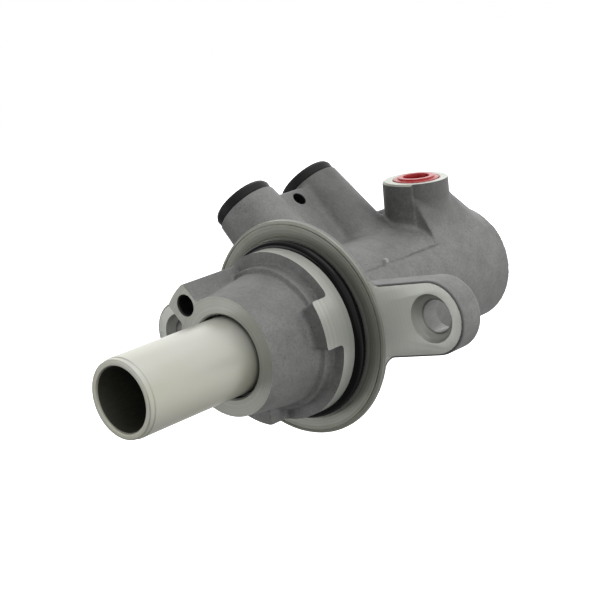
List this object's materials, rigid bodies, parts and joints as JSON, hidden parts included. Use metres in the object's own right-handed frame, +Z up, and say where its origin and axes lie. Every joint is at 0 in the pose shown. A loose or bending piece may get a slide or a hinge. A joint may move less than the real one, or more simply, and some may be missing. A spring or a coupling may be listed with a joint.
{
  "type": "brake master cylinder",
  "caption": "Tandem brake master cylinder with an eared flange, an O-ring sealed nose, a hollow primary piston, reservoir ports and capped outlet ports.",
  "frame": {"origin": "where the bore axis crosses the flange's mounting face", "axes": "-Y along the bore towards the booster and its pushrod, +Y towards the closed end, the two eared holes on X, +Z up on the side of the reservoir and outlet ports"},
  "size_m": [0.126, 0.16, 0.0773],
  "materials": {
    "cast_aluminium": "fine-grained as-cast, with machined faces at the flange, ears, nose and outlets",
    "anodised_piston": "smooth turned and anodised, satin",
    "bright_steel": "turned and pressed steel",
    "spring_steel": "dark drawn wire",
    "o_ring_rubber": "glossy, lightly greased",
    "seal_rubber": "smooth",
    "grommet_rubber": "matte",
    "guide_plastic": "natural nylon",
    "plug_plastic": "red, slightly translucent"
  },
  "bodies": {
    "housing": {"cylinder_body": "cast_aluminium", "right_mounting_ear": "cast_aluminium", "left_mounting_ear": "cast_aluminium", "front_reservoir_port": "cast_aluminium", "rear_reservoir_port": "cast_aluminium", "spigot_o_ring": "o_ring_rubber", "retaining_circlip": "spring_steel", "piston_guide_ring": "guide_plastic", "vacuum_seal": "seal_rubber", "primary_backup_ring": "guide_plastic", "primary_pressure_seal": "seal_rubber", "separating_seal": "seal_rubber", "secondary_backup_ring": "guide_plastic", "secondary_pressure_seal": "seal_rubber", "secondary_spring_guide": "guide_plastic", "feed_channel_plug": "bright_steel", "front_reservoir_grommet": "grommet_rubber", "rear_reservoir_grommet": "grommet_rubber", "front_outlet_plug": "plug_plastic", "rear_outlet_plug": "plug_plastic"},
    "primary_piston_group": {"primary_piston": "anodised_piston", "pushrod_seat": "bright_steel", "primary_spring_cup": "bright_steel", "captive_pin": "bright_steel", "primary_return_spring": "spring_steel"},
    "secondary_piston_group": {"secondary_piston": "anodised_piston", "captive_sleeve": "bright_steel", "secondary_return_spring": "spring_steel"}
  },
  "joints": [
    {"name": "primary_stroke", "type": "slide", "parent": "housing", "child": "primary_piston_group", "axis": [0, 1, 0], "range_m": [0, 0.032], "stiffness_N_per_m": 2000, "springref_m": -0.02, "deforming": ["primary_return_spring"]},
    {"name": "secondary_stroke", "type": "slide", "parent": "housing", "child": "secondary_piston_group", "axis": [0, 1, 0], "range_m": [0, 0.016], "stiffness_N_per_m": 3000, "springref_m": -0.015, "deforming": ["secondary_return_spring"]}
  ],
  "couplings": [
    {"joint": "secondary_stroke", "follows": "primary_stroke", "ratio": 0.5}
  ]
}
